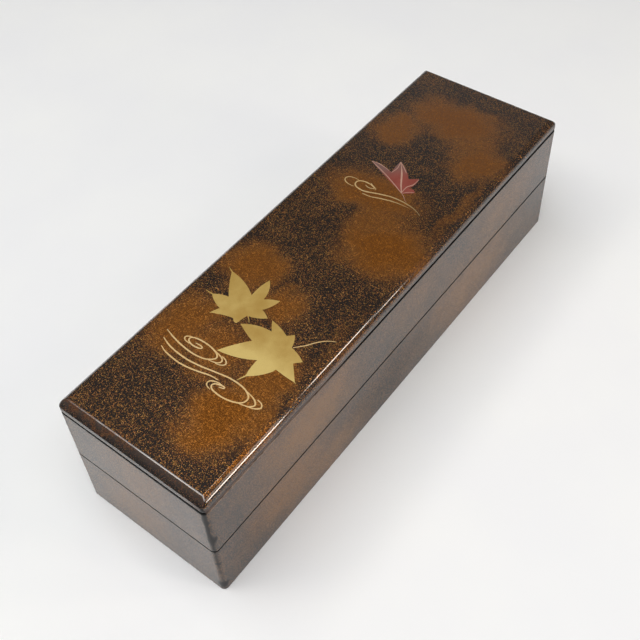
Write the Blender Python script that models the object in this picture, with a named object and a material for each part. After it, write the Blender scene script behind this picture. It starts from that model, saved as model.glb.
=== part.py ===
# A small lacquered writing box in two tiers under a lift-off lid.
#
# The box is long and narrow. Two shallow trays of the same plan stand one on the other, and a
# flat lid with bevelled edges covers the upper one. All three are joined the same way: a thin
# lip rises inside the wall of each tray, and a rebate under the piece above drops over it, so
# the outer faces run on flush and only a fine dark seam shows. Nothing is hinged.
#
# The frame is metres, +Z up, with the origin under the middle of the box. X runs along the
# length and Y across it.

import bpy
import math

MM = 0.001

# Plan of the box
LENGTH = 242.0 * MM
WIDTH = 71.5 * MM
CORNER_RADIUS = 2.2 * MM

# Heights of the outer faces, each piece by itself
LOWER_HEIGHT = 30.4 * MM
UPPER_HEIGHT = 27.9 * MM
LID_HEIGHT = 5.8 * MM

# Thicknesses
WALL = 3.6 * MM
LOWER_FLOOR = 3.4 * MM
UPPER_FLOOR = 2.8 * MM

# The lip inside each mouth, and the clearance of the piece that drops over it
LIP_THICKNESS = 1.7 * MM
LIP_HEIGHT = 2.2 * MM
LIP_CLEARANCE = 0.3 * MM
SEAM = 0.3 * MM

# Softened edges
ARRIS = 0.45 * MM
LIP_ARRIS = 0.35 * MM
FLOOR_FILLET = 1.6 * MM

# The lid's bevels: a straight one at the short ends, a swelling one along the long sides
BEVEL_INSET = 2.9 * MM
END_RIM_HEIGHT = 3.2 * MM
SIDE_RIM_HEIGHT = 2.2 * MM
SIDE_CREST_ANGLE = math.radians(65.0)

# How finely the round stretches are divided
CORNER_STEPS = 6
ARRIS_STEPS = 3
FILLET_STEPS = 4
BEVEL_STEPS = 7
SMALLEST_RADIUS = 0.5 * MM

# Where the pieces stand, one on the other
UPPER_BASE = LOWER_HEIGHT + SEAM
LID_BASE = UPPER_BASE + UPPER_HEIGHT + SEAM
SHOULDER = WALL - LIP_THICKNESS
SKIRT = SHOULDER - LIP_CLEARANCE


def clear_scene():
    """Start from an empty scene."""
    for item in list(bpy.data.objects):
        bpy.data.objects.remove(item, do_unlink=True)


def lacquer(name, color, roughness, metallic):
    """A plain gloss finish in the colour of one piece."""
    material = bpy.data.materials.new(name)
    material.use_nodes = True
    shader = material.node_tree.nodes["Principled BSDF"]
    shader.inputs["Base Color"].default_value = (color[0], color[1], color[2], 1.0)
    shader.inputs["Roughness"].default_value = roughness
    shader.inputs["Metallic"].default_value = metallic
    return material


def plan_ring(inset_x, inset_y, z):
    """A rounded rectangle at height z, drawn in from the outer faces by two insets."""
    radius = max(CORNER_RADIUS - 0.5 * (inset_x + inset_y), SMALLEST_RADIUS)
    centre_x = LENGTH / 2 - inset_x - radius
    centre_y = WIDTH / 2 - inset_y - radius
    corners = ((1, 1, 0.0), (-1, 1, 0.5), (-1, -1, 1.0), (1, -1, 1.5))
    ring = []
    for side_x, side_y, turn in corners:
        for step in range(CORNER_STEPS + 1):
            angle = math.pi * (turn + 0.5 * step / CORNER_STEPS)
            x = side_x * centre_x + radius * math.cos(angle)
            y = side_y * centre_y + radius * math.sin(angle)
            ring.append((x, y, z))
    return ring


def quarter(start, end, level_first, steps):
    """The points after start on a quarter round to end, as (inset, height) pairs.

    With level_first the quarter leaves start level and arrives upright, or else the other way.
    """
    points = []
    for step in range(1, steps + 1):
        angle = 0.5 * math.pi * step / steps
        slow = 1.0 - math.cos(angle)
        fast = math.sin(angle)
        share_inset, share_height = (fast, slow) if level_first else (slow, fast)
        inset = start[0] + (end[0] - start[0]) * share_inset
        height = start[1] + (end[1] - start[1]) * share_height
        points.append((inset, height))
    return points


def loft(name, rings, material):
    """One closed body from a stack of rings, capped at its first and last ring."""
    count = len(rings[0])
    vertices = [point for ring in rings for point in ring]
    faces = [tuple(reversed(range(count)))]
    for level in range(len(rings) - 1):
        low = level * count
        high = low + count
        for i in range(count):
            j = (i + 1) % count
            faces.append((low + i, low + j, high + j, high + i))
    top = (len(rings) - 1) * count
    faces.append(tuple(top + i for i in range(count)))
    mesh = bpy.data.meshes.new(name)
    mesh.from_pydata(vertices, [], faces)
    mesh.materials.append(material)
    mesh.shade_smooth()
    mesh.set_sharp_from_angle(angle=math.radians(30.0))
    piece = bpy.data.objects.new(name, mesh)
    bpy.context.scene.collection.objects.link(piece)
    return piece


def flat_underside(base):
    """The bottom of a piece that rests on a table, out to the start of its outer face."""
    profile = [(ARRIS, base)]
    profile += quarter((ARRIS, base), (0.0, base + ARRIS), True, ARRIS_STEPS)
    return profile


def rebated_underside(base):
    """The bottom of a piece that drops over a lip, out to the start of its outer face."""
    profile = [(SKIRT, base + LIP_HEIGHT), (SKIRT, base), (ARRIS, base)]
    profile += quarter((ARRIS, base), (0.0, base + ARRIS), True, ARRIS_STEPS)
    return profile


def lipped_mouth(top):
    """The top of a tray's wall, from its outer face over the shoulder and the lip."""
    lip_top = top + LIP_HEIGHT
    profile = [(0.0, top - ARRIS)]
    profile += quarter((0.0, top - ARRIS), (ARRIS, top), False, ARRIS_STEPS)
    profile += [
        (SHOULDER, top),
        (SHOULDER, lip_top - LIP_ARRIS),
        (SHOULDER + LIP_ARRIS, lip_top),
        (WALL - LIP_ARRIS, lip_top),
        (WALL, lip_top - LIP_ARRIS),
    ]
    return profile


def tray_inside(floor_top):
    """The inner wall down to the floor, with a fillet in the corner."""
    start = (WALL, floor_top + FLOOR_FILLET)
    end = (WALL + FLOOR_FILLET, floor_top)
    return [start] + quarter(start, end, False, FILLET_STEPS)


def tray(name, underside, top, floor_top, material):
    """A tray: underside, outer face, lipped mouth and hollow inside."""
    profile = underside + lipped_mouth(top) + tray_inside(floor_top)
    rings = [plan_ring(inset, inset, z) for inset, z in profile]
    return loft(name, rings, material)


def end_inset(z):
    """How far a short end of the lid leans in at height z: a straight bevel."""
    start = LID_BASE + END_RIM_HEIGHT
    rise = LID_BASE + LID_HEIGHT - start
    return BEVEL_INSET * max(z - start, 0.0) / rise


def side_inset(z):
    """How far a long side of the lid leans in at height z: an arc that stops at the crest."""
    start = LID_BASE + SIDE_RIM_HEIGHT
    rise = LID_BASE + LID_HEIGHT - start
    share = max(z - start, 0.0) / rise
    angle = math.asin(share * math.sin(SIDE_CREST_ANGLE))
    return BEVEL_INSET * (1.0 - math.cos(angle)) / (1.0 - math.cos(SIDE_CREST_ANGLE))


def lid(material):
    """The lid: a rebated underside, an upright rim, bevels all round and a flat top."""
    rings = [plan_ring(inset, inset, z) for inset, z in rebated_underside(LID_BASE)]
    side_start = LID_BASE + SIDE_RIM_HEIGHT
    end_start = LID_BASE + END_RIM_HEIGHT
    top = LID_BASE + LID_HEIGHT
    levels = [side_start, 0.5 * (side_start + end_start)]
    levels += [end_start + (top - end_start) * step / BEVEL_STEPS for step in range(BEVEL_STEPS + 1)]
    rings += [plan_ring(end_inset(z), side_inset(z), z) for z in levels]
    return loft("lid", rings, material)


def build():
    """Make the three pieces where they stand."""
    clear_scene()
    tray(
        "lower_tray",
        flat_underside(0.0),
        LOWER_HEIGHT,
        LOWER_FLOOR,
        lacquer("lower_tray_lacquer", (0.10, 0.055, 0.040), 0.15, 0.10),
    )
    tray(
        "upper_tray",
        rebated_underside(UPPER_BASE),
        UPPER_BASE + UPPER_HEIGHT,
        UPPER_BASE + LIP_HEIGHT + UPPER_FLOOR,
        lacquer("upper_tray_lacquer", (0.12, 0.060, 0.040), 0.15, 0.10),
    )
    lid(lacquer("lid_lacquer", (0.14, 0.065, 0.030), 0.12, 0.15))


build()
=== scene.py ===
# The looks of the lacquered writing box: sprinkled gold over dark amber lacquer, with maple
# leaves and flowing water laid flat in gold and red on the lid.
#
# Lengths are millimetres until they reach a mesh or a light, which are in metres.

import bpy
import math
from mathutils import Matrix, Vector
from mathutils.geometry import delaunay_2d_cdt

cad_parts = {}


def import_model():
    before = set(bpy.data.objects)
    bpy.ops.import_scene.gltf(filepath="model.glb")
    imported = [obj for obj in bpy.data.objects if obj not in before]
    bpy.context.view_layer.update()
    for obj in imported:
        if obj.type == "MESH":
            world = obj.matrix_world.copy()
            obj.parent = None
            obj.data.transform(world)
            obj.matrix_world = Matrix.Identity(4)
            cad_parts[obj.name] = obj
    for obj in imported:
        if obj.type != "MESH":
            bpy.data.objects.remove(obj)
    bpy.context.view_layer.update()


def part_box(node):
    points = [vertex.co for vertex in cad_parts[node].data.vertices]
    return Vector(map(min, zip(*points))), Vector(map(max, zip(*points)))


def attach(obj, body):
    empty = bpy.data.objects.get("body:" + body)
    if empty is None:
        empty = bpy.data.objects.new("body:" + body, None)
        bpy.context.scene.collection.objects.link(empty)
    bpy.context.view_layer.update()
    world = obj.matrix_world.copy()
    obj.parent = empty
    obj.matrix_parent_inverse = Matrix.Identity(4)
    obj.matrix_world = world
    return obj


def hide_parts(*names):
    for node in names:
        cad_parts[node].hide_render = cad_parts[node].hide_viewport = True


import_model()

MM = 0.001


# Sizes read from the frame

lid_low, lid_high = (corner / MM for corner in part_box("lid"))
upper_low, upper_high = (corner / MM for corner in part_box("upper_tray"))
lower_low, lower_high = (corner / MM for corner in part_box("lower_tray"))

LENGTH = lid_high.x - lid_low.x
WIDTH = lid_high.y - lid_low.y
LIP_HEIGHT = 2.2
LOWER_TOP = lower_high.z - LIP_HEIGHT
UPPER_BASE = upper_low.z
UPPER_TOP = upper_high.z - LIP_HEIGHT
LID_BASE = lid_low.z
LID_TOP = lid_high.z

# Sizes that the pieces share with the solids
CORNER_RADIUS = 2.2
SMALLEST_RADIUS = 0.5
WALL = 3.6
LOWER_FLOOR = 3.4
UPPER_FLOOR = 2.8
LIP_THICKNESS = 1.7
LIP_CLEARANCE = 0.3
SHOULDER = WALL - LIP_THICKNESS
SKIRT = SHOULDER - LIP_CLEARANCE
FLOOR_FILLET = 1.6
BEVEL_INSET = 2.9
END_BEVEL_INSET = 3.15
END_RIM_HEIGHT = 3.2
SIDE_RIM_HEIGHT = 2.2
SIDE_CREST_ANGLE = math.radians(65.0)

# Softened edges, finer than in the solids
FOOT_ARRIS = 0.45
SEAM_ARRIS = 0.33
MOUTH_ARRIS = 0.45
RIM_ARRIS = 0.85
LIP_ARRIS = 0.35
RIDGE_ROUND = 1.15
CREST_ROUND = 1.10

# The joints: how much taller the painted shade of the lid's gap and of the seam grows at the far end, how
# much taller the painted shade of the gap grows at the front corner, and how far and from where the seam
# climbs at the near end
RIM_SHADE_GROWTH = 0.78
SEAM_SHADE_GROWTH = 0.25
MOUTH_SHADE_GROWTH = 0.75
SEAM_RISE = 0.45
SEAM_RISE_REACH = 12.0

# Divisions of the round stretches
CORNER_STEPS = 12
ARRIS_STEPS = 5
FILLET_STEPS = 6
BEVEL_STEPS = 14

SHARP_ANGLE = math.radians(35.0)
TINY = 1e-4


# Small tools for shapes

def plan_ring(inset_x, inset_y, z):
    """A rounded rectangle at height z, drawn in from the outer faces by two insets."""
    radius = max(CORNER_RADIUS - 0.5 * (inset_x + inset_y), SMALLEST_RADIUS)
    centre_x = LENGTH / 2 - inset_x - radius
    centre_y = WIDTH / 2 - inset_y - radius
    corners = ((1, 1, 0.0), (-1, 1, 0.5), (-1, -1, 1.0), (1, -1, 1.5))
    ring = []
    for side_x, side_y, turn in corners:
        for step in range(CORNER_STEPS + 1):
            angle = math.pi * (turn + 0.5 * step / CORNER_STEPS)
            x = side_x * centre_x + radius * math.cos(angle)
            y = side_y * centre_y + radius * math.sin(angle)
            ring.append((x, y, z))
    return ring


def far_share(x):
    """How far along the far half of the box x is, from 0 to 1."""
    return max(2.0 * x / LENGTH, 0.0)


def near_share(x, reach):
    """1 on the near end, falling to 0 at this reach along the box."""
    return min(max(1.0 - (x + LENGTH / 2) / reach, 0.0), 1.0)


def near_corner_share(x, y):
    """1 on the near end at its front corner, falling to 0 at the end's middle and round the corner."""
    return near_share(x, CORNER_RADIUS) * max(-2.0 * y / WIDTH, 0.0)


def lift(rings, amount):
    """Raise each point of these rings by an amount that depends on its x and y."""
    for ring in rings:
        ring[:] = [(x, y, z + amount(x, y)) for x, y, z in ring]


def quarter(start, end, level_first, steps):
    """The points after start on a quarter round to end, as (inset, height) pairs."""
    points = []
    for step in range(1, steps + 1):
        angle = 0.5 * math.pi * step / steps
        slow = 1.0 - math.cos(angle)
        fast = math.sin(angle)
        share_inset, share_height = (fast, slow) if level_first else (slow, fast)
        inset = start[0] + (end[0] - start[0]) * share_inset
        height = start[1] + (end[1] - start[1]) * share_height
        points.append((inset, height))
    return points


def make_piece(name, vertices, faces, slots, materials, node):
    """A mesh piece that stands for a CAD node, with one material slot for each face."""
    mesh = bpy.data.meshes.new(name)
    mesh.from_pydata([(x * MM, y * MM, z * MM) for x, y, z in vertices], [], faces)
    for material in materials:
        mesh.materials.append(material)
    mesh.polygons.foreach_set("material_index", slots)
    mesh.shade_smooth()
    mesh.set_sharp_from_angle(angle=SHARP_ANGLE)
    piece = bpy.data.objects.new(name, mesh)
    bpy.context.scene.collection.objects.link(piece)
    flat = piece.modifiers.new("flat_faces", "WEIGHTED_NORMAL")
    flat.keep_sharp = True
    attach(piece, "root")
    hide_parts(node)


def loft_bands(rings, first_slot, band_slots):
    """Vertices, faces and slots of a stack of rings, closed by a cap at the first ring only."""
    count = len(rings[0])
    vertices = [point for ring in rings for point in ring]
    faces = [tuple(reversed(range(count)))]
    slots = [first_slot]
    for level in range(len(rings) - 1):
        low = level * count
        high = low + count
        for i in range(count):
            j = (i + 1) % count
            faces.append((low + i, low + j, high + j, high + i))
            slots.append(band_slots[level])
    return vertices, faces, slots


# Small tools for materials

class Nodes:
    """A material's nodes, added by type and joined by name."""

    def __init__(self, name):
        self.material = bpy.data.materials.new(name)
        self.material.use_nodes = True
        self.tree = self.material.node_tree
        self.shader = self.tree.nodes["Principled BSDF"]

    def add(self, kind, inputs=None, **settings):
        """A node of this kind, with its settings, and its inputs set or linked."""
        node = self.tree.nodes.new(kind)
        for key, value in settings.items():
            setattr(node, key, value)
        for key, value in (inputs or {}).items():
            self.put(node.inputs[key], value)
        return node

    def put(self, socket, value):
        """Link a socket to another, or give it a plain value."""
        if isinstance(value, bpy.types.NodeSocket):
            self.tree.links.new(value, socket)
        else:
            socket.default_value = value

    def math(self, operation, first, second=0.0, third=0.0):
        """One arithmetic step."""
        node = self.add("ShaderNodeMath", {0: first, 1: second, 2: third}, operation=operation)
        return node.outputs[0]

    def vector(self, operation, first, second=(0.0, 0.0, 0.0)):
        """One step with vectors."""
        node = self.add("ShaderNodeVectorMath", {0: first, 1: second}, operation=operation)
        return node.outputs["Value" if operation == "LENGTH" else "Vector"]

    def scaled(self, first, scale):
        """A vector times a number."""
        node = self.add("ShaderNodeVectorMath", {0: first, "Scale": scale}, operation="SCALE")
        return node.outputs["Vector"]

    def ramp(self, value, low, high, to_low=0.0, to_high=1.0):
        """A soft step of value between low and high."""
        node = self.add(
            "ShaderNodeMapRange",
            {"Value": value, "From Min": low, "From Max": high, "To Min": to_low, "To Max": to_high},
            interpolation_type="SMOOTHSTEP",
        )
        return node.outputs["Result"]

    def mix(self, share, first, second):
        """A mix of two colours."""
        node = self.add("ShaderNodeMix", data_type="RGBA")
        self.put(node.inputs[0], share)
        self.put(node.inputs[6], first)
        self.put(node.inputs[7], second)
        return node.outputs[2]

    def place(self):
        """Where a point is on the object, in millimetres."""
        coordinates = self.add("ShaderNodeTexCoord")
        return self.scaled(coordinates.outputs["Object"], 1.0 / MM)

    def noise(self, place, scale, detail=2.0, roughness=0.5, output="Fac"):
        """Soft noise whose features are about 1 / scale millimetres across."""
        node = self.add(
            "ShaderNodeTexNoise",
            {"Vector": place, "Scale": scale, "Detail": detail, "Roughness": roughness},
        )
        return node.outputs[output]

    def cells(self, place, size):
        """Small cells about this many millimetres across, each with a random colour."""
        return self.add("ShaderNodeTexVoronoi", {"Vector": place, "Scale": 1.0 / size})

    def set(self, **values):
        """Plain values on the shader, with _ for a space in a socket's name."""
        for key, value in values.items():
            self.put(self.shader.inputs[key.replace("_", " ")], value)


def rgb(red, green, blue):
    """A colour in linear light from 0 to 255 display values."""
    def linear(value):
        share = value / 255.0
        return share / 12.92 if share <= 0.04045 else ((share + 0.055) / 1.055) ** 2.4
    return (linear(red), linear(green), linear(blue), 1.0)


# The cloud patches of dense gold: centre, radii along x, y and z, and strength. A patch with only
# x and y reaches through the lid's whole height.

FAR_AWAY = 400.0
LID_CLOUDS = (
    ((-68, 22), (14, 12), 0.80),
    ((-29, 19), (11, 13), 0.85),
    ((-40, -4), (9, 8), 0.75),
    ((-93, -17), (14, 12), 1.00),
    ((-70, -20), (14, 11), 0.80),
    ((-69, 3), (13, 11), 0.70),
    ((8, -18), (13, 17), 1.00),
    ((19, -7), (12, 12), 0.65),
    ((32, 3), (11, 20), 0.90),
    ((73, 21), (10, 10), 0.75),
    ((73, -22), (11, 11), 0.80),
    ((93, 1), (12, 19), 0.95),
    ((84, -14), (10, 11), 0.60),
    ((-85, -29), (11, 5.5), 0.75),
    ((-44, -31), (18, 2.4), 0.14),
    ((46, -31), (25, 2.8), 0.34),
)
SIDE_CLOUDS = (
    ((-64, -36, 45), (27, 9, 17), 0.62),
    ((-78, -36, 20), (24, 9, 15), 0.58),
    ((-56, -36, 10), (22, 9, 12), 0.55),
    ((52, -36, 18), (34, 9, 18), 0.55),
    ((76, -36, 44), (24, 9, 16), 0.36),
    ((8, -36, 47), (18, 9, 12), 0.28),
    ((-121, 0, 45), (9, 16, 15), 0.40),
    ((-121, 8, 18), (9, 18, 15), 0.46),
    ((-40, 36, 44), (32, 9, 15), 0.60),
    ((60, 36, 40), (30, 9, 16), 0.60),
    ((10, 36, 15), (28, 9, 16), 0.50),
    ((-85, 36, 16), (22, 9, 15), 0.45),
    ((121, -6, 42), (9, 16, 14), 0.50),
    ((121, 12, 16), (9, 16, 14), 0.45),
)
# Dense gold along the near crest, partly painted glint around the edge lamps' highlight
CREST_CLOUDS_AND_GLINTS = (
    ((-95, -33, 67), (24, 6, 4), 1.00),
    ((-44, -35, 62.5), (18, 4, 2.5), 0.36),
)
RIM_CLOUDS = (
    ((-100, -36, 60), (50, 8, 8), 1.00),
)
BEVEL_CLOUDS = (
    ((-121, -36, 62), (10, 14, 6), 0.15),
    ((-119, 26, 65), (8, 30, 1.6), 0.50),
)

# Patches where the trays' clear coat has lost some of its gloss
DULL_PATCHES = (
    ((-12, -36, 15), (26, 9, 14), 0.27),
    ((-95, -36, 14), (24, 9, 13), 0.13),
)

CLOUD_WANDER = 16.0


def cloud_mask(nodes, place, clouds, soft):
    """How dense the sprinkled gold is, from 0 to 1: soft patches with a drifting edge."""
    drift = nodes.noise(place, 0.09, detail=3.0, output="Color")
    drift = nodes.scaled(nodes.vector("SUBTRACT", drift, (0.5, 0.5, 0.5)), CLOUD_WANDER)
    moved = nodes.vector("ADD", place, drift)
    total = None
    for centre, radii, strength in clouds:
        if len(centre) == 2:
            centre = (centre[0], centre[1], LID_TOP)
            radii = (radii[0], radii[1], FAR_AWAY)
        away = nodes.vector("SUBTRACT", moved, tuple(float(v) for v in centre))
        away = nodes.vector("MULTIPLY", away, tuple(1.0 / v for v in radii))
        share = nodes.ramp(nodes.vector("LENGTH", away), 1.0 + soft, 1.0 - soft, 0.0, strength)
        total = share if total is None else nodes.math("MAXIMUM", total, share)
    return total


# Materials

# Small chips on the front corner: centre and radius
CHIPS = (
    ((-120.2, -35.2, 39.6), 2.0),
    ((-120.2, -34.9, 4.4), 2.2),
    ((-120.2, -34.9, 21.0), 1.1),
)
CHIP_WANDER = 1.4

# Rubbing on the upright corners, darkened also as painted shade of their dimmer reflection. It starts and
# is full at these distances past the flat faces, with the wander added. It is wider on the long sides
# towards the top, and fainter low down.
RUB_AND_SHADE_START = 2.20
RUB_AND_SHADE_FULL = 2.60
RUB_AND_SHADE_WANDER = 2.2
HIGH_RUB_AND_SHADE_GROWTH = 1.2
HIGH_RUB_AND_SHADE_HEIGHTS = (20.0, 56.0)
LOW_RUB_AND_SHADE_SHARE = 0.62
LOW_RUB_AND_SHADE_HEIGHTS = (18.0, 40.0)
RUBBED_AND_SHADED_COAT_LOSS = 0.7
CORNER_COAT_SHARE = 0.84


def past_corner(nodes, place):
    """How far a point is past the flat part of both its faces: most on the upright corners."""
    parts = nodes.add("ShaderNodeSeparateXYZ", {"Vector": nodes.vector("ABSOLUTE", place)})
    past_x = nodes.math("SUBTRACT", parts.outputs["X"], LENGTH / 2 - CORNER_RADIUS)
    past_y = nodes.math("SUBTRACT", parts.outputs["Y"], WIDTH / 2 - CORNER_RADIUS)
    widening = nodes.ramp(parts.outputs["Z"], *HIGH_RUB_AND_SHADE_HEIGHTS, 0.0, HIGH_RUB_AND_SHADE_GROWTH)
    past_y = nodes.math("ADD", past_y, widening)
    return nodes.math("MINIMUM", past_x, past_y)


def rubbing_and_shade_on_corner(nodes, place, past):
    """How much of the dust is gone from the upright corners, through rubbing and as painted shade, with a
    few small chips.
    """
    wander = nodes.math("MULTIPLY", nodes.noise(place, 0.45, detail=5.0), RUB_AND_SHADE_WANDER)
    height = nodes.add("ShaderNodeSeparateXYZ", {"Vector": place}).outputs["Z"]
    rubbing_and_shade = nodes.ramp(nodes.math("ADD", past, wander), RUB_AND_SHADE_START, RUB_AND_SHADE_FULL)
    rubbing_and_shade = nodes.math("MULTIPLY", rubbing_and_shade, nodes.ramp(height, *LOW_RUB_AND_SHADE_HEIGHTS, LOW_RUB_AND_SHADE_SHARE, 1.0))
    for centre, radius in CHIPS:
        away = nodes.vector("LENGTH", nodes.vector("SUBTRACT", place, centre))
        away = nodes.math("ADD", away, nodes.math("MULTIPLY", nodes.noise(place, 0.9), CHIP_WANDER))
        rubbing_and_shade = nodes.math("MAXIMUM", rubbing_and_shade, nodes.ramp(away, radius + 1.0, radius + 0.4))
    return rubbing_and_shade


# The scattered dust has a share of faint red and green specks
DUST_TINTS = (rgb(132, 62, 54), rgb(92, 98, 58))
TINT_SHARE = 0.4
DUST_IN_CLOUDS = 0.97
DUST_DRIFT = 0.10

# Above this height the crest of the lid keeps its full gloss
CREST_GLOSS_HEIGHT = LID_TOP - 1.5
CREST_GLOSS_BLUR = 0.3


def nashiji(
    name, clouds, dark, body, sparse, dense, flake, tilt, metal, density,
    soft=0.5, shine=0.38, coat=1.0, coat_ior=1.5, coat_roughness=0.05, dull=0.0,
    corner_wear_and_shade=None, ridge=None, low_gloss=1.0, patches=None,
):
    """Gold dust sprinkled in dark amber lacquer, under a clear polished coat.

    The dust is a share of small cells, few in the dark ground and nearly all in the clouds.
    sparse and dense are each two tones of dust. dull is how much of the coat's gloss is gone in
    the clouds, corner_wear_and_shade is the colour of the upright corners, partly wear and partly
    painted shade, ridge is the ground's colour at the height of the lid's top, low_gloss is the
    share of gloss left on a bevel's lower part, and patches are places where the coat has lost some of its
    gloss.
    """
    nodes = Nodes(name)
    place = nodes.place()
    mask = cloud_mask(nodes, place, clouds, soft)
    height = nodes.add("ShaderNodeSeparateXYZ", {"Vector": place}).outputs["Z"]
    if ridge is not None:
        dark = nodes.mix(nodes.ramp(height, LID_BASE + END_RIM_HEIGHT, LID_TOP), dark, ridge)
    cells = nodes.cells(place, flake)
    chance = nodes.add("ShaderNodeSeparateColor", {"Color": cells.outputs["Color"]})
    drift = nodes.ramp(nodes.noise(place, 0.10, detail=4.0), 0.3, 0.7, -DUST_DRIFT, DUST_DRIFT)
    share = nodes.math("ADD", nodes.ramp(mask, 0.0, 0.9, density, DUST_IN_CLOUDS), drift)
    dust = nodes.math("LESS_THAN", chance.outputs["Red"], share)
    scattered = nodes.mix(chance.outputs["Green"], *sparse)
    scattered = nodes.mix(TINT_SHARE, scattered, nodes.mix(chance.outputs["Blue"], *DUST_TINTS))
    tone = nodes.mix(mask, scattered, nodes.mix(chance.outputs["Green"], *dense))
    colour = nodes.mix(dust, nodes.mix(mask, dark, body), tone)
    metallic = nodes.math("MULTIPLY", dust, metal)
    if dull > 0.0:
        coat = nodes.math("MULTIPLY_ADD", mask, -dull, coat)
    if patches is not None:
        coat = nodes.math("SUBTRACT", coat, cloud_mask(nodes, place, patches, soft))
    if low_gloss < 1.0:
        gloss_from = CREST_GLOSS_HEIGHT - CREST_GLOSS_BLUR
        gloss_to = CREST_GLOSS_HEIGHT + CREST_GLOSS_BLUR
        coat = nodes.math("MULTIPLY", coat, nodes.ramp(height, gloss_from, gloss_to, low_gloss, 1.0))
    # The upright corners turn dark and lose gloss: partly wear with chips, partly painted shade
    if corner_wear_and_shade is not None:
        past = past_corner(nodes, place)
        corner = rubbing_and_shade_on_corner(nodes, place, past)
        colour = nodes.mix(corner, colour, corner_wear_and_shade)
        metallic = nodes.math("MULTIPLY", metallic, nodes.math("SUBTRACT", 1.0, corner))
        kept = nodes.math("MULTIPLY_ADD", corner, -RUBBED_AND_SHADED_COAT_LOSS, 1.0)
        coat = nodes.math("MULTIPLY", coat, kept)
        coat = nodes.math("MULTIPLY", coat, nodes.ramp(past, -4.0, 1.0, 1.0, CORNER_COAT_SHARE))
    turn = nodes.add("ShaderNodeTexWhiteNoise", {"Vector": cells.outputs["Position"]})
    turn = nodes.vector("SUBTRACT", turn.outputs["Color"], (0.5, 0.5, 0.5))
    turn = nodes.scaled(turn, nodes.math("MULTIPLY", dust, tilt))
    normal = nodes.add("ShaderNodeNewGeometry").outputs["Normal"]
    normal = nodes.vector("NORMALIZE", nodes.vector("ADD", normal, turn))
    nodes.set(
        Base_Color=colour,
        Metallic=metallic,
        Roughness=shine,
        Specular_IOR_Level=0.15,
        Normal=normal,
        Coat_Weight=coat,
        Coat_Roughness=coat_roughness,
        Coat_IOR=coat_ior,
    )
    return nodes.material


def black_lacquer(name, colour, roughness):
    """Plain lacquer inside and underneath, faintly brushed and clouded."""
    nodes = Nodes(name)
    place = nodes.place()
    along = nodes.vector("MULTIPLY", place, (0.05, 1.0, 1.0))
    brushing = nodes.noise(along, 1.2, detail=4.0)
    clouding = nodes.noise(place, 0.06, detail=3.0)
    dim = tuple(0.6 * v for v in colour[:3]) + (1.0,)
    nodes.set(
        Base_Color=nodes.mix(clouding, dim, colour),
        Roughness=nodes.ramp(brushing, 0.2, 0.8, roughness * 0.8, roughness * 1.3),
        Coat_Weight=0.6,
        Coat_Roughness=0.12,
    )
    bump = nodes.add("ShaderNodeBump", {"Height": brushing, "Strength": 0.08, "Distance": 0.00005})
    nodes.put(nodes.shader.inputs["Normal"], bump.outputs["Normal"])
    return nodes.material


# Where along x the lid comes to sit tight on the near long side, so that the painted shade of its joint
# turns paler, how deep the paler tone goes from that side, and how much it varies
TIGHT_STRETCH = (-35.0, -80.0)
TIGHT_DEPTH = 2.0
TIGHT_SHARES = (0.6, 1.0)


def gap_shade(name, deep, pale):
    """The rounded edges by a joint, painted nearly black as the joint's shade, but paler where the lid sits
    tight in front.
    """
    nodes = Nodes(name)
    place = nodes.place()
    parts = nodes.add("ShaderNodeSeparateXYZ", {"Vector": place})
    tight = nodes.ramp(parts.outputs["X"], *TIGHT_STRETCH)
    front = nodes.math("LESS_THAN", parts.outputs["Y"], TIGHT_DEPTH - WIDTH / 2)
    high = nodes.math("GREATER_THAN", parts.outputs["Z"], 0.5 * (UPPER_BASE + UPPER_TOP))
    tight = nodes.math("MULTIPLY", nodes.math("MULTIPLY", tight, front), high)
    wander = nodes.noise(place, 0.5, detail=3.0)
    tight = nodes.math("MULTIPLY", tight, nodes.ramp(wander, 0.35, 0.55, *TIGHT_SHARES))
    tight = nodes.math("MULTIPLY", tight, nodes.ramp(past_corner(nodes, place), 1.4, 0.4))
    nodes.set(Base_Color=nodes.mix(tight, deep, pale), Roughness=0.5, Specular_IOR_Level=0.2)
    return nodes.material


# Where along x the powder turns paler, where along x and y the far lines thin out and by what
# share, and how far from its base the red leaf changes tone
PALER_STRETCH = (-56.0, -67.0)
THIN_STRETCH = (-20.0, 20.0)
THIN_ACROSS = (6.0, -19.0)
THIN_SHARES = (0.14, 0.62)
RED_LEAF_BASE = (39.2, -5.3)
TIP_REACH = (9.0, 19.0)


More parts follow.
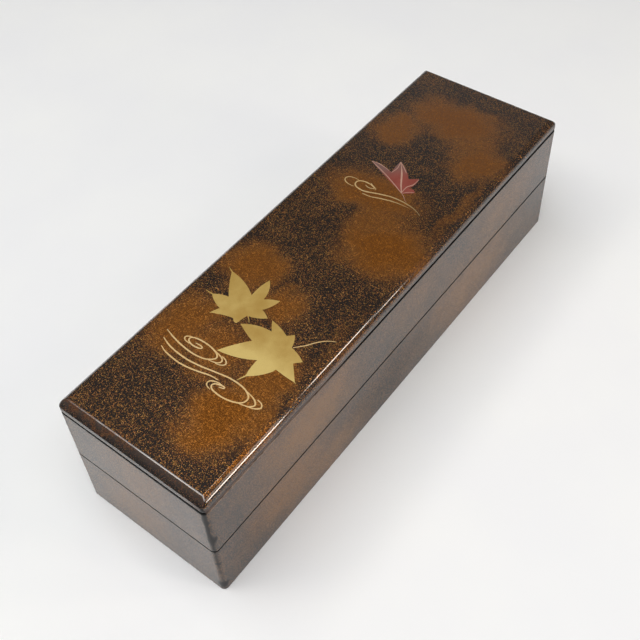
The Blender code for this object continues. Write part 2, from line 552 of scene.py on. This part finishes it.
def gold_powder(name, deep, bright, metallic=0.45, paler=0.0, thin=None, tips=None):
    """Gold powder laid flat in lacquer and polished: a fine grain with slow changes of tone.

    paler is how much lighter the powder is towards the near end of the lid, thin is the ground
    that shows through the tails of the far lines, and tips is the tone of the red leaf's tips.
    """
    nodes = Nodes(name)
    place = nodes.place()
    slow = nodes.noise(place, 0.16, detail=2.0)
    grain = nodes.noise(place, 4.0, detail=3.0, roughness=0.7)
    share = nodes.math("ADD", nodes.math("MULTIPLY", slow, 0.8), nodes.math("MULTIPLY", grain, 0.5))
    parts = nodes.add("ShaderNodeSeparateXYZ", {"Vector": place})
    share = nodes.math("ADD", share, nodes.ramp(parts.outputs["X"], *PALER_STRETCH, 0.0, paler))
    colour = nodes.mix(nodes.ramp(share, 0.35, 1.25), deep, bright)
    if thin is not None:
        beyond = nodes.ramp(parts.outputs["X"], *THIN_STRETCH)
        tail = nodes.ramp(parts.outputs["Y"], *THIN_ACROSS, *THIN_SHARES)
        colour = nodes.mix(nodes.math("MULTIPLY", beyond, tail), colour, thin)
    if tips is not None:
        out = nodes.vector("SUBTRACT", place, (*RED_LEAF_BASE, LID_TOP))
        colour = nodes.mix(nodes.ramp(nodes.vector("LENGTH", out), *TIP_REACH), colour, tips)
    bump = nodes.add("ShaderNodeBump", {"Height": grain, "Strength": 0.25, "Distance": 0.0001})
    nodes.set(
        Base_Color=colour,
        Metallic=metallic,
        Roughness=nodes.ramp(grain, 0.3, 0.7, 0.42, 0.56),
        Normal=bump.outputs["Normal"],
        Coat_Weight=0.5,
        Coat_Roughness=0.08,
    )
    return nodes.material


LID_TONES = (
    rgb(32, 24, 19), rgb(104, 60, 13),
    (rgb(114, 68, 30), rgb(176, 120, 52)), (rgb(118, 67, 10), rgb(141, 84, 17)),
)
lid_nashiji = nashiji(
    "lid_sprinkled_gold", LID_CLOUDS, *LID_TONES,
    flake=0.27, tilt=0.6, metal=0.6, density=0.27, soft=0.6,
)
crest_nashiji = nashiji(
    "crest_sprinkled_gold", LID_CLOUDS + CREST_CLOUDS_AND_GLINTS, *LID_TONES,
    flake=0.27, tilt=0.8, metal=0.8, density=0.25, soft=0.6, shine=0.28,
    coat_ior=1.9, coat_roughness=0.08, low_gloss=0.62,
)
tray_nashiji = nashiji(
    "tray_sprinkled_gold", SIDE_CLOUDS, rgb(36, 26, 18), rgb(98, 62, 18),
    (rgb(118, 78, 38), rgb(140, 96, 48)), (rgb(132, 86, 22), rgb(150, 102, 32)),
    flake=0.20, tilt=0.2, metal=0.6, density=0.29, soft=0.75, coat=0.75, dull=0.12,
    corner_wear_and_shade=rgb(26, 20, 17), patches=DULL_PATCHES,
)
rim_nashiji = nashiji(
    "rim_sprinkled_gold", RIM_CLOUDS, rgb(34, 26, 20), rgb(30, 20, 15),
    (rgb(100, 70, 40), rgb(122, 88, 54)), (rgb(56, 34, 22), rgb(70, 44, 27)),
    flake=0.20, tilt=0.2, metal=0.5, density=0.25, coat=0.70, dull=0.44, corner_wear_and_shade=rgb(24, 17, 15),
)
bevel_lacquer = nashiji(
    "bevel_dark_lacquer", BEVEL_CLOUDS, rgb(27, 21, 18), rgb(40, 26, 20),
    (rgb(76, 50, 34), rgb(112, 80, 54)), (rgb(90, 50, 30), rgb(130, 84, 50)),
    flake=0.25, tilt=0.4, metal=0.3, density=0.12, dull=1.1, coat_ior=1.9, coat_roughness=0.12,
    ridge=rgb(70, 57, 50),
)
# Painted shade on the rounded edges by the joints: nearly black, paler in front where the lid sits tight
joint_painted_shade = gap_shade("gap_painted_shade", rgb(8, 6, 5), rgb(150, 128, 114))
inside_lacquer = black_lacquer("inside_black_lacquer", rgb(30, 20, 18), 0.32)
under_lacquer = black_lacquer("underside_lacquer", rgb(34, 24, 20), 0.42)
leaf_gold = gold_powder("leaf_gold_powder", rgb(184, 147, 71), rgb(220, 192, 116), paler=0.6)
line_gold = gold_powder(
    "line_gold_powder", rgb(224, 186, 123), rgb(236, 212, 163), thin=rgb(96, 68, 34),
)
leaf_red = gold_powder(
    "leaf_red_lacquer", rgb(126, 52, 40), rgb(156, 80, 66), metallic=0.1, tips=rgb(116, 84, 76),
)
leaf_pink = gold_powder("leaf_pale_line", rgb(180, 134, 114), rgb(200, 162, 144), metallic=0.2)


# The trays

# Material slots of a tray
OUTER, INNER, UNDER, GAP = range(4)


def flat_underside(base):
    """The bottom of a piece that rests on a table, out to the start of its outer face."""
    return [(FOOT_ARRIS, base)] + quarter((FOOT_ARRIS, base), (0.0, base + FOOT_ARRIS), True, ARRIS_STEPS)


def rebated_underside(base, arris):
    """The bottom of a piece that drops over a lip, out to the start of its outer face."""
    profile = [(SKIRT, base + LIP_HEIGHT), (SKIRT, base), (arris, base)]
    return profile + quarter((arris, base), (0.0, base + arris), True, ARRIS_STEPS)


def lipped_mouth(top, arris):
    """The top of a tray's wall, from its outer face over the shoulder and the lip."""
    lip_top = top + LIP_HEIGHT
    profile = [(0.0, top - arris)]
    profile += quarter((0.0, top - arris), (arris, top), False, ARRIS_STEPS)
    profile += [(SHOULDER, top), (SHOULDER, lip_top - LIP_ARRIS)]
    profile += quarter((SHOULDER, lip_top - LIP_ARRIS), (SHOULDER + LIP_ARRIS, lip_top), False, ARRIS_STEPS)
    profile += [(WALL - LIP_ARRIS, lip_top)]
    profile += quarter((WALL - LIP_ARRIS, lip_top), (WALL, lip_top - LIP_ARRIS), True, ARRIS_STEPS)
    return profile


def tray_inside(floor_top):
    """The inner wall down to the floor, with a fillet in the corner."""
    start = (WALL, floor_top + FLOOR_FILLET)
    end = (WALL + FLOOR_FILLET, floor_top)
    return [start] + quarter(start, end, False, FILLET_STEPS)


def shift_joints_and_shade(rings, stands, outer_from, face, outer_to):
    """Shift the rings by a tray's joints: the seam climbs at the near end, and on the upper tray the
    joints' painted shade grows taller.
    """
    by_seam = rings[face + 1:outer_to + 1] if stands else rings[outer_from:face + 1]
    lift(by_seam, lambda x, y: SEAM_RISE * near_share(x, SEAM_RISE_REACH))
    if not stands:
        # On the upper tray the painted shade bands grow taller at the far end and at the near end's front
        # corner
        lift(rings[face - 1:face + 1], lambda x, y: SEAM_SHADE_GROWTH * far_share(x))
        lift(rings[face + 1:face + 2], lambda x, y: -MOUTH_SHADE_GROWTH * near_corner_share(x, y))


def tray(name, underside, top, arris, floor_top, node, stands):
    """A tray: underside, outer face, lipped mouth and hollow inside.

    stands is True for the tray that stands on the table and False for the one on top of it.
    """
    mouth = lipped_mouth(top, arris)
    profile = underside + mouth + tray_inside(floor_top)
    rings = [plan_ring(inset, inset, z) for inset, z in profile]
    outer_from = len(underside) - ARRIS_STEPS - 1
    face = len(underside) - 1
    outer_to = face + 1 + ARRIS_STEPS
    shift_joints_and_shade(rings, stands, outer_from, face, outer_to)
    bands = []
    for level in range(len(rings) - 1):
        if level < outer_from:
            bands.append(UNDER)
        elif level < face:
            bands.append(OUTER if stands else GAP)
        elif level == face:
            bands.append(OUTER)
        elif level <= outer_to:
            bands.append(GAP)
        else:
            bands.append(INNER)
    vertices, faces, slots = loft_bands(rings, UNDER, bands)
    count = len(rings[0])
    faces.append(tuple(len(vertices) - count + i for i in range(count)))
    slots.append(INNER)
    materials = (tray_nashiji, inside_lacquer, under_lacquer, joint_painted_shade)
    make_piece(name, vertices, faces, slots, materials, node)


# The drawing on the lid, in millimetres from the middle of the lid

def curve_through(points, spacing=0.45):
    """Points along a smooth curve through the given ones."""
    path = []
    last = len(points) - 1
    for i in range(last):
        p0 = Vector(points[max(i - 1, 0)])
        p1 = Vector(points[i])
        p2 = Vector(points[i + 1])
        p3 = Vector(points[min(i + 2, last)])
        steps = max(2, round((p2 - p1).length / spacing))
        for step in range(steps):
            t = step / steps
            path.append(
                0.5 * (2 * p1 + (p2 - p0) * t + (2 * p0 - 5 * p1 + 4 * p2 - p3) * t * t
                       + (3 * p1 - p0 - 3 * p2 + p3) * t * t * t)
            )
    path.append(Vector(points[last]))
    return path


def stroke(points, width, start_share, end_share, taper):
    """A drawn line as a row of narrow triangles, thinner towards its ends."""
    path = curve_through(points)
    along = [0.0]
    for a, b in zip(path, path[1:]):
        along.append(along[-1] + (b - a).length)
    left, right = [], []
    for i, point in enumerate(path):
        ahead = path[min(i + 1, len(path) - 1)] - path[max(i - 1, 0)]
        side = Vector((-ahead.y, ahead.x)).normalized()
        from_start = min(along[i] / taper, 1.0)
        from_end = min((along[-1] - along[i]) / taper, 1.0)
        share = min(
            start_share + (1 - start_share) * from_start,
            end_share + (1 - end_share) * from_end,
        )
        left.append(point + side * (0.5 * width * share))
        right.append(point - side * (0.5 * width * share))
    triangles = []
    for i in range(len(path) - 1):
        triangles.append((left[i], right[i], right[i + 1]))
        triangles.append((left[i], right[i + 1], left[i + 1]))
    return triangles


def strokes(lines, slot, width, start_share, end_share, taper=5.0):
    """Every triangle of these drawn lines, as (corners, slot)."""
    return [
        (face, slot)
        for points in lines
        for face in stroke(points, width, start_share, end_share, taper)
    ]


def leaf_outline(corners, spacing=0.8):
    """A closed outline from tips and valleys, (x, y, bulge), each side bowed out by its bulge."""
    outline = []
    for i, (x, y, bulge) in enumerate(corners):
        start = Vector((x, y))
        end = Vector(corners[(i + 1) % len(corners)][:2])
        side = end - start
        outward = Vector((side.y, -side.x))
        middle = 0.5 * (start + end) + outward * (2.0 * bulge)
        steps = max(1, round(side.length / spacing))
        for step in range(steps):
            t = step / steps
            outline.append((1 - t) ** 2 * start + 2 * t * (1 - t) * middle + t * t * end)
    return outline


# Tips and valleys run clockwise, so a side bows out with a negative bulge
UPPER_LEAF = (
    (-57.8, 17.8, -0.03), (-53.8, 15.9, -0.07), (-50.0, 23.4, -0.05), (-47.4, 17.0, -0.03),
    (-36.5, 24.7, -0.07), (-41.7, 10.1, -0.06), (-31.6, 9.2, -0.09), (-40.6, 4.9, -0.05),
    (-37.6, -0.9, -0.07), (-45.0, 2.0, -0.05), (-47.1, -2.4, -0.07), (-50.6, 4.9, 0.0),
    (-55.9, 5.9, -0.15), (-54.6, 8.4, 0.0), (-55.0, 10.6, 0.02),
)
LOWER_LEAF = (
    (-69.7, 3.3, -0.03), (-58.8, -4.5, -0.02), (-55.1, 4.4, -0.08), (-51.1, -7.7, -0.03),
    (-46.8, -4.5, -0.04), (-49.5, -13.6, 0.0), (-47.3, -15.8, -0.06), (-52.7, -18.6, -0.05),
    (-55.6, -26.0, 0.0), (-58.1, -23.5, 0.0), (-64.4, -29.3, -0.02), (-63.9, -20.1, 0.0),
    (-65.2, -19.8, -0.06), (-72.7, -12.9, -0.04), (-64.6, -11.8, -0.06),
)
RED_LEAF = (
    (*RED_LEAF_BASE, -0.01), (49.0, 17.3, -0.06), (47.8, 5.7, -0.05), (55.8, 6.3, -0.06),
    (48.3, -2.7, -0.03), (50.8, -6.5, -0.10), (43.6, -6.0, 0.0), (43.9, -8.4, 0.0),
    (42.7, -9.8, -0.06),
)

GOLD_HAIRS = (
    ((-50.0, 23.0), (-50.0, 25.2), (-49.8, 26.9)),
    ((-36.8, 24.2), (-36.1, 25.8), (-35.4, 27.2)),
    ((-72.4, -13.0), (-74.2, -12.2), (-76.0, -11.5)),
    ((-64.3, -28.8), (-64.6, -29.9)),
)
UPPER_STEM = ((-50.4, 4.6), (-51.6, 3.2), (-52.8, 2.1))
LOWER_STEM = ((-52.4, -19.0), (-48.9, -22.2), (-45.0, -25.0), (-42.3, -27.9), (-41.0, -30.5))
NEAR_STREAM = (
    ((-80.2, 21.9), (-81.5, 18.3), (-82.2, 12.6), (-82.1, 8.3), (-81.2, 3.0), (-79.9, -2.2), (-79.7, -6.0)),
    (
        (-76.8, 24.0), (-78.6, 18.6), (-79.4, 11.0), (-78.9, 4.0), (-77.6, -3.0), (-76.6, -9.5),
        (-76.9, -15.5), (-78.6, -19.4), (-80.8, -20.2), (-83.0, -18.4), (-84.5, -13.1),
        (-84.2, -7.4), (-82.7, -5.6), (-81.4, -6.6), (-80.7, -9.6), (-81.3, -10.3), (-81.9, -8.2),
    ),
    ((-84.5, -6.4), (-83.9, -4.3), (-82.7, -3.5), (-81.4, -4.2), (-80.6, -6.6), (-80.6, -8.6)),
    ((-83.1, -18.9), (-82.1, -22.4), (-80.3, -23.9), (-78.5, -21.9), (-77.5, -18.0)),
    ((-82.5, -21.6), (-81.6, -24.6), (-80.0, -26.4), (-78.5, -25.4), (-78.0, -23.2)),
    (
        (-73.3, 25.4), (-74.9, 19.8), (-75.9, 14.0), (-76.1, 8.4), (-75.2, 3.9), (-72.8, 1.1),
        (-70.9, 2.7), (-69.8, 7.4), (-69.9, 12.6), (-70.9, 15.2), (-72.4, 15.1), (-73.3, 12.6),
        (-73.0, 9.4), (-72.2, 8.5), (-71.7, 9.8), (-71.9, 12.1),
    ),
    ((-73.4, 13.9), (-73.1, 16.3), (-72.0, 17.3), (-70.9, 16.3), (-70.2, 13.4)),
    ((-75.0, 2.8), (-74.2, -0.5), (-72.7, -1.6), (-71.3, -0.2), (-70.4, 3.6)),
    ((-74.8, -0.2), (-73.9, -2.8), (-72.7, -3.6), (-71.4, -2.4), (-70.8, -0.2)),
)
FAR_STREAM = (
    ((31.2, 14.2), (31.3, 17.3), (32.2, 19.4), (33.7, 20.1), (35.1, 19.2), (35.8, 17.0), (35.7, 14.6)),
    (
        (34.8, 10.4), (34.2, 8.3), (35.0, 6.0), (36.2, 8.2), (36.3, 12.0), (35.2, 14.3), (33.3, 14.7),
        (31.8, 13.2), (31.2, 10.0), (31.8, 7.0), (33.5, 2.2), (34.9, -3.0), (35.2, -8.0),
        (34.7, -13.0), (33.6, -16.6), (32.3, -19.0),
    ),
    ((29.8, 8.6), (30.0, 4.7), (31.2, 1.2), (32.6, -3.6), (33.3, -8.0), (33.5, -12.5)),
    ((37.0, 9.1), (36.1, 7.2), (35.2, 5.2), (34.4, 5.3)),
)
RED_LINES = (
    (RED_LEAF_BASE, (42.1, 0.4), (44.8, 6.2), (46.9, 11.4), (48.9, 17.0)),
    ((49.0, 17.0), (49.4, 13.6), (48.9, 10.4), (48.1, 7.2)),
    ((47.8, 5.7), (51.6, 5.2), (55.8, 6.3)),
    ((55.6, 6.2), (53.6, 3.4), (51.0, 0.2)),
    ((39.6, -5.0), (43.6, -4.9), (46.6, -6.4), (50.6, -6.6)),
    ((39.4, -5.6), (41.0, -6.8), (42.6, -9.4)),
)
RED_VEIN = ((39.3, -5.2), (42.2, -3.0), (45.6, -0.8), (49.2, 1.4), (52.4, 3.6), (55.2, 5.9))
RED_STEM = ((39.0, -5.6), (38.0, -7.2), (36.6, -8.6), (35.9, -9.9))

# Widths of the drawn lines
HAIR_WIDTH = 0.55
UPPER_STEM_WIDTH = 0.46
LOWER_STEM_WIDTH = 0.42
WATER_WIDTH = 0.60
RED_LINE_WIDTH = 0.42
RED_VEIN_WIDTH = 0.75
RED_STEM_WIDTH = 0.30

# Material slots of the lid
PLAIN, LINING, LEAF, LINE, RED, PINK, RIM, BEVEL, SHADE, CREST = range(10)


def drawing():
    """Every drawn face on the lid as (corners, slot), in the order it was laid."""
    shapes = [(leaf_outline(corners), LEAF) for corners in (UPPER_LEAF, LOWER_LEAF)]
    shapes.append((leaf_outline(RED_LEAF), RED))
    shapes += strokes(GOLD_HAIRS, LEAF, HAIR_WIDTH, start_share=0.9, end_share=0.15, taper=3.0)
    shapes += strokes([UPPER_STEM], LEAF, UPPER_STEM_WIDTH, start_share=0.9, end_share=0.5)
    shapes += strokes([LOWER_STEM], LINE, LOWER_STEM_WIDTH, start_share=0.9, end_share=0.5)
    shapes += strokes(NEAR_STREAM, LINE, WATER_WIDTH, start_share=0.45, end_share=0.55)
    shapes += strokes(FAR_STREAM, LINE, WATER_WIDTH, start_share=0.45, end_share=0.35, taper=9.0)
    shapes += strokes(RED_LINES, PINK, RED_LINE_WIDTH, start_share=0.7, end_share=0.5)
    shapes += strokes([RED_VEIN], PINK, RED_VEIN_WIDTH, start_share=0.6, end_share=0.25, taper=8.0)
    shapes += strokes([RED_STEM], PINK, RED_STEM_WIDTH, start_share=0.8, end_share=0.3)
    return shapes


def counterclockwise(corners):
    """The corners of a flat shape, turned round if they run clockwise."""
    doubled = sum(a.cross(b) for a, b in zip(corners, corners[1:] + corners[:1]))
    return corners if doubled > 0.0 else corners[::-1]


def inlaid_top(ring):
    """The flat top inside a ring, parted along the drawing: new points, triangles and slots."""
    points = [Vector(point[:2]) for point in ring]
    outlines = [list(range(len(points)))]
    slot_of = [PLAIN]
    for corners, slot in drawing():
        start = len(points)
        points += counterclockwise([Vector(corner) for corner in corners])
        outlines.append(list(range(start, len(points))))
        slot_of.append(slot)
    places, _, triangles, from_points, _, from_faces = delaunay_2d_cdt(points, [], outlines, 1, TINY)
    return places, triangles, from_points, [max(ids) for ids in from_faces], slot_of


# The lid

def rounded_top(inset, lean, radius):
    """Points where a face that leans back by lean meets the flat top in a small round."""
    reach = radius * math.tan(0.5 * lean)
    points = []
    for step in range(ARRIS_STEPS + 1):
        angle = lean * (1.0 - step / ARRIS_STEPS)
        points.append((
            inset + reach - radius * math.sin(angle),
            LID_TOP - radius * (1.0 - math.cos(angle)),
        ))
    return points


def end_profile():
    """A short end of the lid above its rim: a straight bevel and a rounded ridge."""
    start = LID_BASE + END_RIM_HEIGHT
    lean = math.atan2(LID_TOP - start, END_BEVEL_INSET)
    return [(0.0, start)] + rounded_top(END_BEVEL_INSET, lean, RIDGE_ROUND)


def side_profile():
    """A long side of the lid above its rim: a swelling bevel and a softer crest."""
    start = LID_BASE + SIDE_RIM_HEIGHT
    crest = rounded_top(BEVEL_INSET, 0.5 * math.pi - SIDE_CREST_ANGLE, CREST_ROUND)
    points = []
    for step in range(BEVEL_STEPS):
        angle = SIDE_CREST_ANGLE * step / BEVEL_STEPS
        points.append((
            BEVEL_INSET * (1.0 - math.cos(angle)) / (1.0 - math.cos(SIDE_CREST_ANGLE)),
            start + (LID_TOP - start) * math.sin(angle) / math.sin(SIDE_CREST_ANGLE),
        ))
    return [point for point in points if point[1] < crest[0][1] and point[0] < crest[0][0]] + crest


def inset_at(profile, z):
    """How far a profile leans in at height z."""
    for (inset, low), (next_inset, high) in zip(profile, profile[1:]):
        if z <= high:
            return inset + (next_inset - inset) * max(z - low, 0.0) / (high - low)
    return profile[-1][0]


def lid_shell():
    """Vertices, faces and slots of the lid without its flat top, and the ring round that top."""
    foot = rebated_underside(LID_BASE, RIM_ARRIS)
    rings = [plan_ring(inset, inset, z) for inset, z in foot]
    # The top of the lid gap's dark band, painted shade, rises towards the far end
    lift(rings[-2:], lambda x, y: RIM_SHADE_GROWTH * far_share(x))
    inner = len(foot) - ARRIS_STEPS - 1
    face = len(foot) - 1
    ends, sides = end_profile(), side_profile()
    levels = sorted({round(z, 6) for _, z in ends + sides})
    rings += [plan_ring(inset_at(ends, z), inset_at(sides, z), z) for z in levels]
    bands = [LINING] * inner + [SHADE] * (face - inner - 1) + [RIM] * (len(rings) - face)
    vertices, faces, slots = loft_bands(rings, LINING, bands)
    count = len(rings[0])
    quarter_count = count // 4
    end_start = LID_BASE + END_RIM_HEIGHT
    side_start = LID_BASE + SIDE_RIM_HEIGHT
    for number in range(1 + face * count, len(faces)):
        level, i = divmod(number - 1, count)
        z = rings[level][0][2]
        corner, step = divmod(i, quarter_count)
        past_middle = step >= CORNER_STEPS / 2
        on_end = past_middle == (corner % 2 == 1)
        if on_end and z >= end_start - TINY:
            slots[number] = BEVEL
        elif not on_end and z >= side_start - TINY:
            slots[number] = CREST
    return vertices, faces, slots, rings[-1]


def lid():
    """The lid with its bevels and the drawing laid flat in its top."""
    vertices, faces, slots, ring = lid_shell()
    count = len(ring)
    base = len(vertices) - count
    places, triangles, from_points, owners, slot_of = inlaid_top(ring)
    index = []
    for place, sources in zip(places, from_points):
        on_ring = [source for source in sources if source < count]
        if on_ring:
            index.append(base + on_ring[0])
        else:
            index.append(len(vertices))
            vertices.append((place.x, place.y, LID_TOP))
    for triangle, owner in zip(triangles, owners):
        a, b, c = (places[i] for i in triangle)
        turned = (b - a).cross(c - a) < 0.0
        corners = [index[i] for i in triangle]
        faces.append(tuple(reversed(corners)) if turned else tuple(corners))
        slots.append(slot_of[owner])
    materials = (
        lid_nashiji, inside_lacquer, leaf_gold, line_gold, leaf_red, leaf_pink,
        rim_nashiji, bevel_lacquer, joint_painted_shade, crest_nashiji,
    )
    make_piece("lid_with_leaves", vertices, faces, slots, materials, "lid")


tray(
    "lower_tray_lacquered", flat_underside(lower_low.z), LOWER_TOP, SEAM_ARRIS,
    lower_low.z + LOWER_FLOOR, "lower_tray", stands=True,
)
tray(
    "upper_tray_lacquered", rebated_underside(UPPER_BASE, SEAM_ARRIS), UPPER_TOP, MOUTH_ARRIS,
    UPPER_BASE + LIP_HEIGHT + UPPER_FLOOR, "upper_tray", stands=False,
)
lid()


# The room: a pale floor, and a dim surround with one pale wall. The wall fades in between two
# cosines of the angle to its direction. The floor's reach is in metres.

FLOOR_REACH = 2.5
WALL_DIRECTION = (0.80, 0.45, 0.40)
WALL_EDGE = (0.925, 0.985)
ROOM_GLOW = 0.10
WALL_GLOW = 0.33


def floor():
    """A wide pale floor with faint folds."""
    mesh = bpy.data.meshes.new("floor")
    turns = ((-1, -1), (1, -1), (1, 1), (-1, 1))
    corners = [(x * FLOOR_REACH, y * FLOOR_REACH, 0.0) for x, y in turns]
    mesh.from_pydata(corners, [], [(0, 1, 2, 3)])
    ground = bpy.data.objects.new("floor", mesh)
    bpy.context.scene.collection.objects.link(ground)
    nodes = Nodes("floor_cloth")
    place = nodes.place()
    slow = nodes.noise(place, 0.012, detail=3.0)
    nodes.set(
        Base_Color=nodes.mix(nodes.ramp(slow, 0.3, 0.7), rgb(246, 246, 247), rgb(249, 249, 248)),
        Roughness=0.9,
    )
    folds = nodes.noise(place, 0.03, detail=4.0)
    bump = nodes.add("ShaderNodeBump", {"Height": folds, "Strength": 0.2, "Distance": 0.002})
    nodes.put(nodes.shader.inputs["Normal"], bump.outputs["Normal"])
    mesh.materials.append(nodes.material)


def world():
    """A dim room with one pale wall, which the far part of the lid mirrors."""
    room = bpy.data.worlds.new("room")
    room.use_nodes = True
    tree = room.node_tree
    place = tree.nodes.new("ShaderNodeTexCoord")
    facing = tree.nodes.new("ShaderNodeVectorMath")
    facing.operation = "DOT_PRODUCT"
    facing.inputs[1].default_value = WALL_DIRECTION
    tone = tree.nodes.new("ShaderNodeMapRange")
    tone.interpolation_type = "SMOOTHSTEP"
    tone.inputs["From Min"].default_value, tone.inputs["From Max"].default_value = WALL_EDGE
    tone.inputs["To Min"].default_value = ROOM_GLOW
    tone.inputs["To Max"].default_value = WALL_GLOW
    tree.links.new(place.outputs["Generated"], facing.inputs[0])
    tree.links.new(facing.outputs["Value"], tone.inputs["Value"])
    tree.links.new(tone.outputs["Result"], tree.nodes["Background"].inputs["Strength"])
    tree.nodes["Background"].inputs["Color"].default_value = (1.0, 1.0, 1.0, 1.0)
    bpy.context.scene.world = room


# The camera, at the photograph's viewing angle

AZIMUTH = math.radians(-50.033)
ELEVATION = math.radians(47.989)
ROLL = math.radians(-3.509)
DISTANCE = 423.30
TARGET = Vector((5.838, 14.697, 30.643))
SENSOR = 36.0
LENS = 53.764
SHIFT_Y = -0.07125


def camera():
    """The camera looks at the target from its azimuth and elevation, a little rolled."""
    back = Vector((
        math.sin(AZIMUTH) * math.cos(ELEVATION),
        -math.cos(AZIMUTH) * math.cos(ELEVATION),
        math.sin(ELEVATION),
    ))
    right = (-back).cross(Vector((0.0, 0.0, 1.0))).normalized()
    up = right.cross(-back)
    level_right = right * math.cos(ROLL) + up * math.sin(ROLL)
    level_up = up * math.cos(ROLL) - right * math.sin(ROLL)
    turn = Matrix((level_right, level_up, back)).transposed()
    data = bpy.data.cameras.new("camera")
    data.sensor_width = SENSOR
    data.lens = LENS
    data.shift_y = SHIFT_Y
    data.clip_start = 0.01
    viewer = bpy.data.objects.new("camera", data)
    viewer.matrix_world = Matrix.Translation((TARGET + back * DISTANCE) * MM) @ turn.to_4x4()
    bpy.context.scene.collection.objects.link(viewer)
    bpy.context.scene.camera = viewer


camera()


# Lights: a soft lamp above, and thin lamps that the lid's edges show as bright lines

SOFT_TINT = (0.97, 0.99, 1.0)
EDGE_TINT = (1.0, 0.87, 0.76)
EDGE_LAMP_DISTANCE = 1000.0


def area_light(name, direction, distance, size, power, along=None, colour=(1.0, 1.0, 1.0)):
    """A rectangular light that faces the box from a direction, with its width along a vector."""
    data = bpy.data.lights.new(name, "AREA")
    data.shape = "RECTANGLE"
    data.size, data.size_y = size
    data.energy = power
    data.color = colour
    lamp = bpy.data.objects.new(name, data)
    toward = Vector(direction).normalized()
    if along is None:
        turn = toward.to_track_quat("Z", "Y").to_matrix()
    else:
        wide = (Vector(along) - toward * toward.dot(Vector(along))).normalized()
        turn = Matrix((wide, toward.cross(wide), toward)).transposed()
    lamp.matrix_world = Matrix.Translation(toward * distance) @ turn.to_4x4()
    bpy.context.scene.collection.objects.link(lamp)


def mirrored(point, normal):
    """Where the camera sees a point with this normal reflect."""
    eye = bpy.context.scene.camera.matrix_world.translation / MM
    ray = (point - eye).normalized()
    return ray - 2.0 * ray.dot(normal) * normal


def on_side_bevel(x, lean):
    """The point and the normal of the near long bevel where its face leans back by an angle."""
    scale = (LID_TOP - LID_BASE - SIDE_RIM_HEIGHT) / math.sin(SIDE_CREST_ANGLE)
    z = LID_BASE + SIDE_RIM_HEIGHT + scale * math.sin(lean)
    point = Vector((x, inset_at(side_profile(), z) - WIDTH / 2, z))
    return point, Vector((0.0, -math.cos(lean), math.sin(lean)))


def on_end_ridge(y, lean):
    """The point and the normal of the near ridge where its face leans out by an angle."""
    point = Vector((END_BEVEL_INSET - LENGTH / 2, y, LID_TOP))
    return point, Vector((-math.sin(lean), 0.0, math.cos(lean)))


def edge_light(name, ends, height, radiance):
    """A lamp that an edge of the lid shows as a thin line between two of its points."""
    start, end = (point + mirrored(point, normal) * EDGE_LAMP_DISTANCE for point, normal in ends)
    middle = 0.5 * (start + end)
    width = (end - start).length
    area_light(
        name, middle, middle.length * MM, (width * MM, height * MM),
        radiance * width * height * MM * MM * math.pi, along=end - start, colour=EDGE_TINT,
    )


def side_light(name, x_from, x_to, lean, height, radiance):
    """A line of light along the near long bevel."""
    lean = math.radians(lean)
    edge_light(name, [on_side_bevel(x, lean) for x in (x_from, x_to)], height, radiance)


def ridge_light(name, y_from, y_to, lean, height, radiance):
    """A line of light along the ridge of the near end."""
    lean = math.radians(lean)
    edge_light(name, [on_end_ridge(y, lean) for y in (y_from, y_to)], height, radiance)


RIDGE_LEAN = 22.0
RIDGE_LAMP_HEIGHT = 400.0

floor()
world()
area_light(
    "soft_lamp", direction=(-0.235, -0.01, 0.945), distance=1.3, size=(1.7, 1.0), power=17.25,
    colour=SOFT_TINT,
)
side_light("edge_lamp_near", x_from=-118.0, x_to=-78.2, lean=42.0, height=175.0, radiance=13.5)
side_light("glow_lamp_near", x_from=-118.0, x_to=-80.5, lean=51.0, height=240.0, radiance=1.8)
side_light("edge_lamp_middle", x_from=-62.0, x_to=-26.0, lean=54.0, height=108.0, radiance=11.5)
side_light("edge_lamp_far", x_from=-19.0, x_to=-5.5, lean=50.0, height=90.0, radiance=10.0)
side_light("crest_lamp", x_from=-117.0, x_to=-105.5, lean=76.0, height=80.0, radiance=16.0)
ridge_light("ridge_lamp_near", -34.0, -12.0, RIDGE_LEAN, RIDGE_LAMP_HEIGHT, radiance=4.4)
ridge_light("ridge_lamp_middle", -12.0, 10.0, RIDGE_LEAN, RIDGE_LAMP_HEIGHT, radiance=2.2)
ridge_light("ridge_lamp_far", 10.0, 34.0, RIDGE_LEAN, RIDGE_LAMP_HEIGHT, radiance=1.0)

# The colours are shown as they are, with no film look
bpy.context.scene.view_settings.view_transform = "Standard"
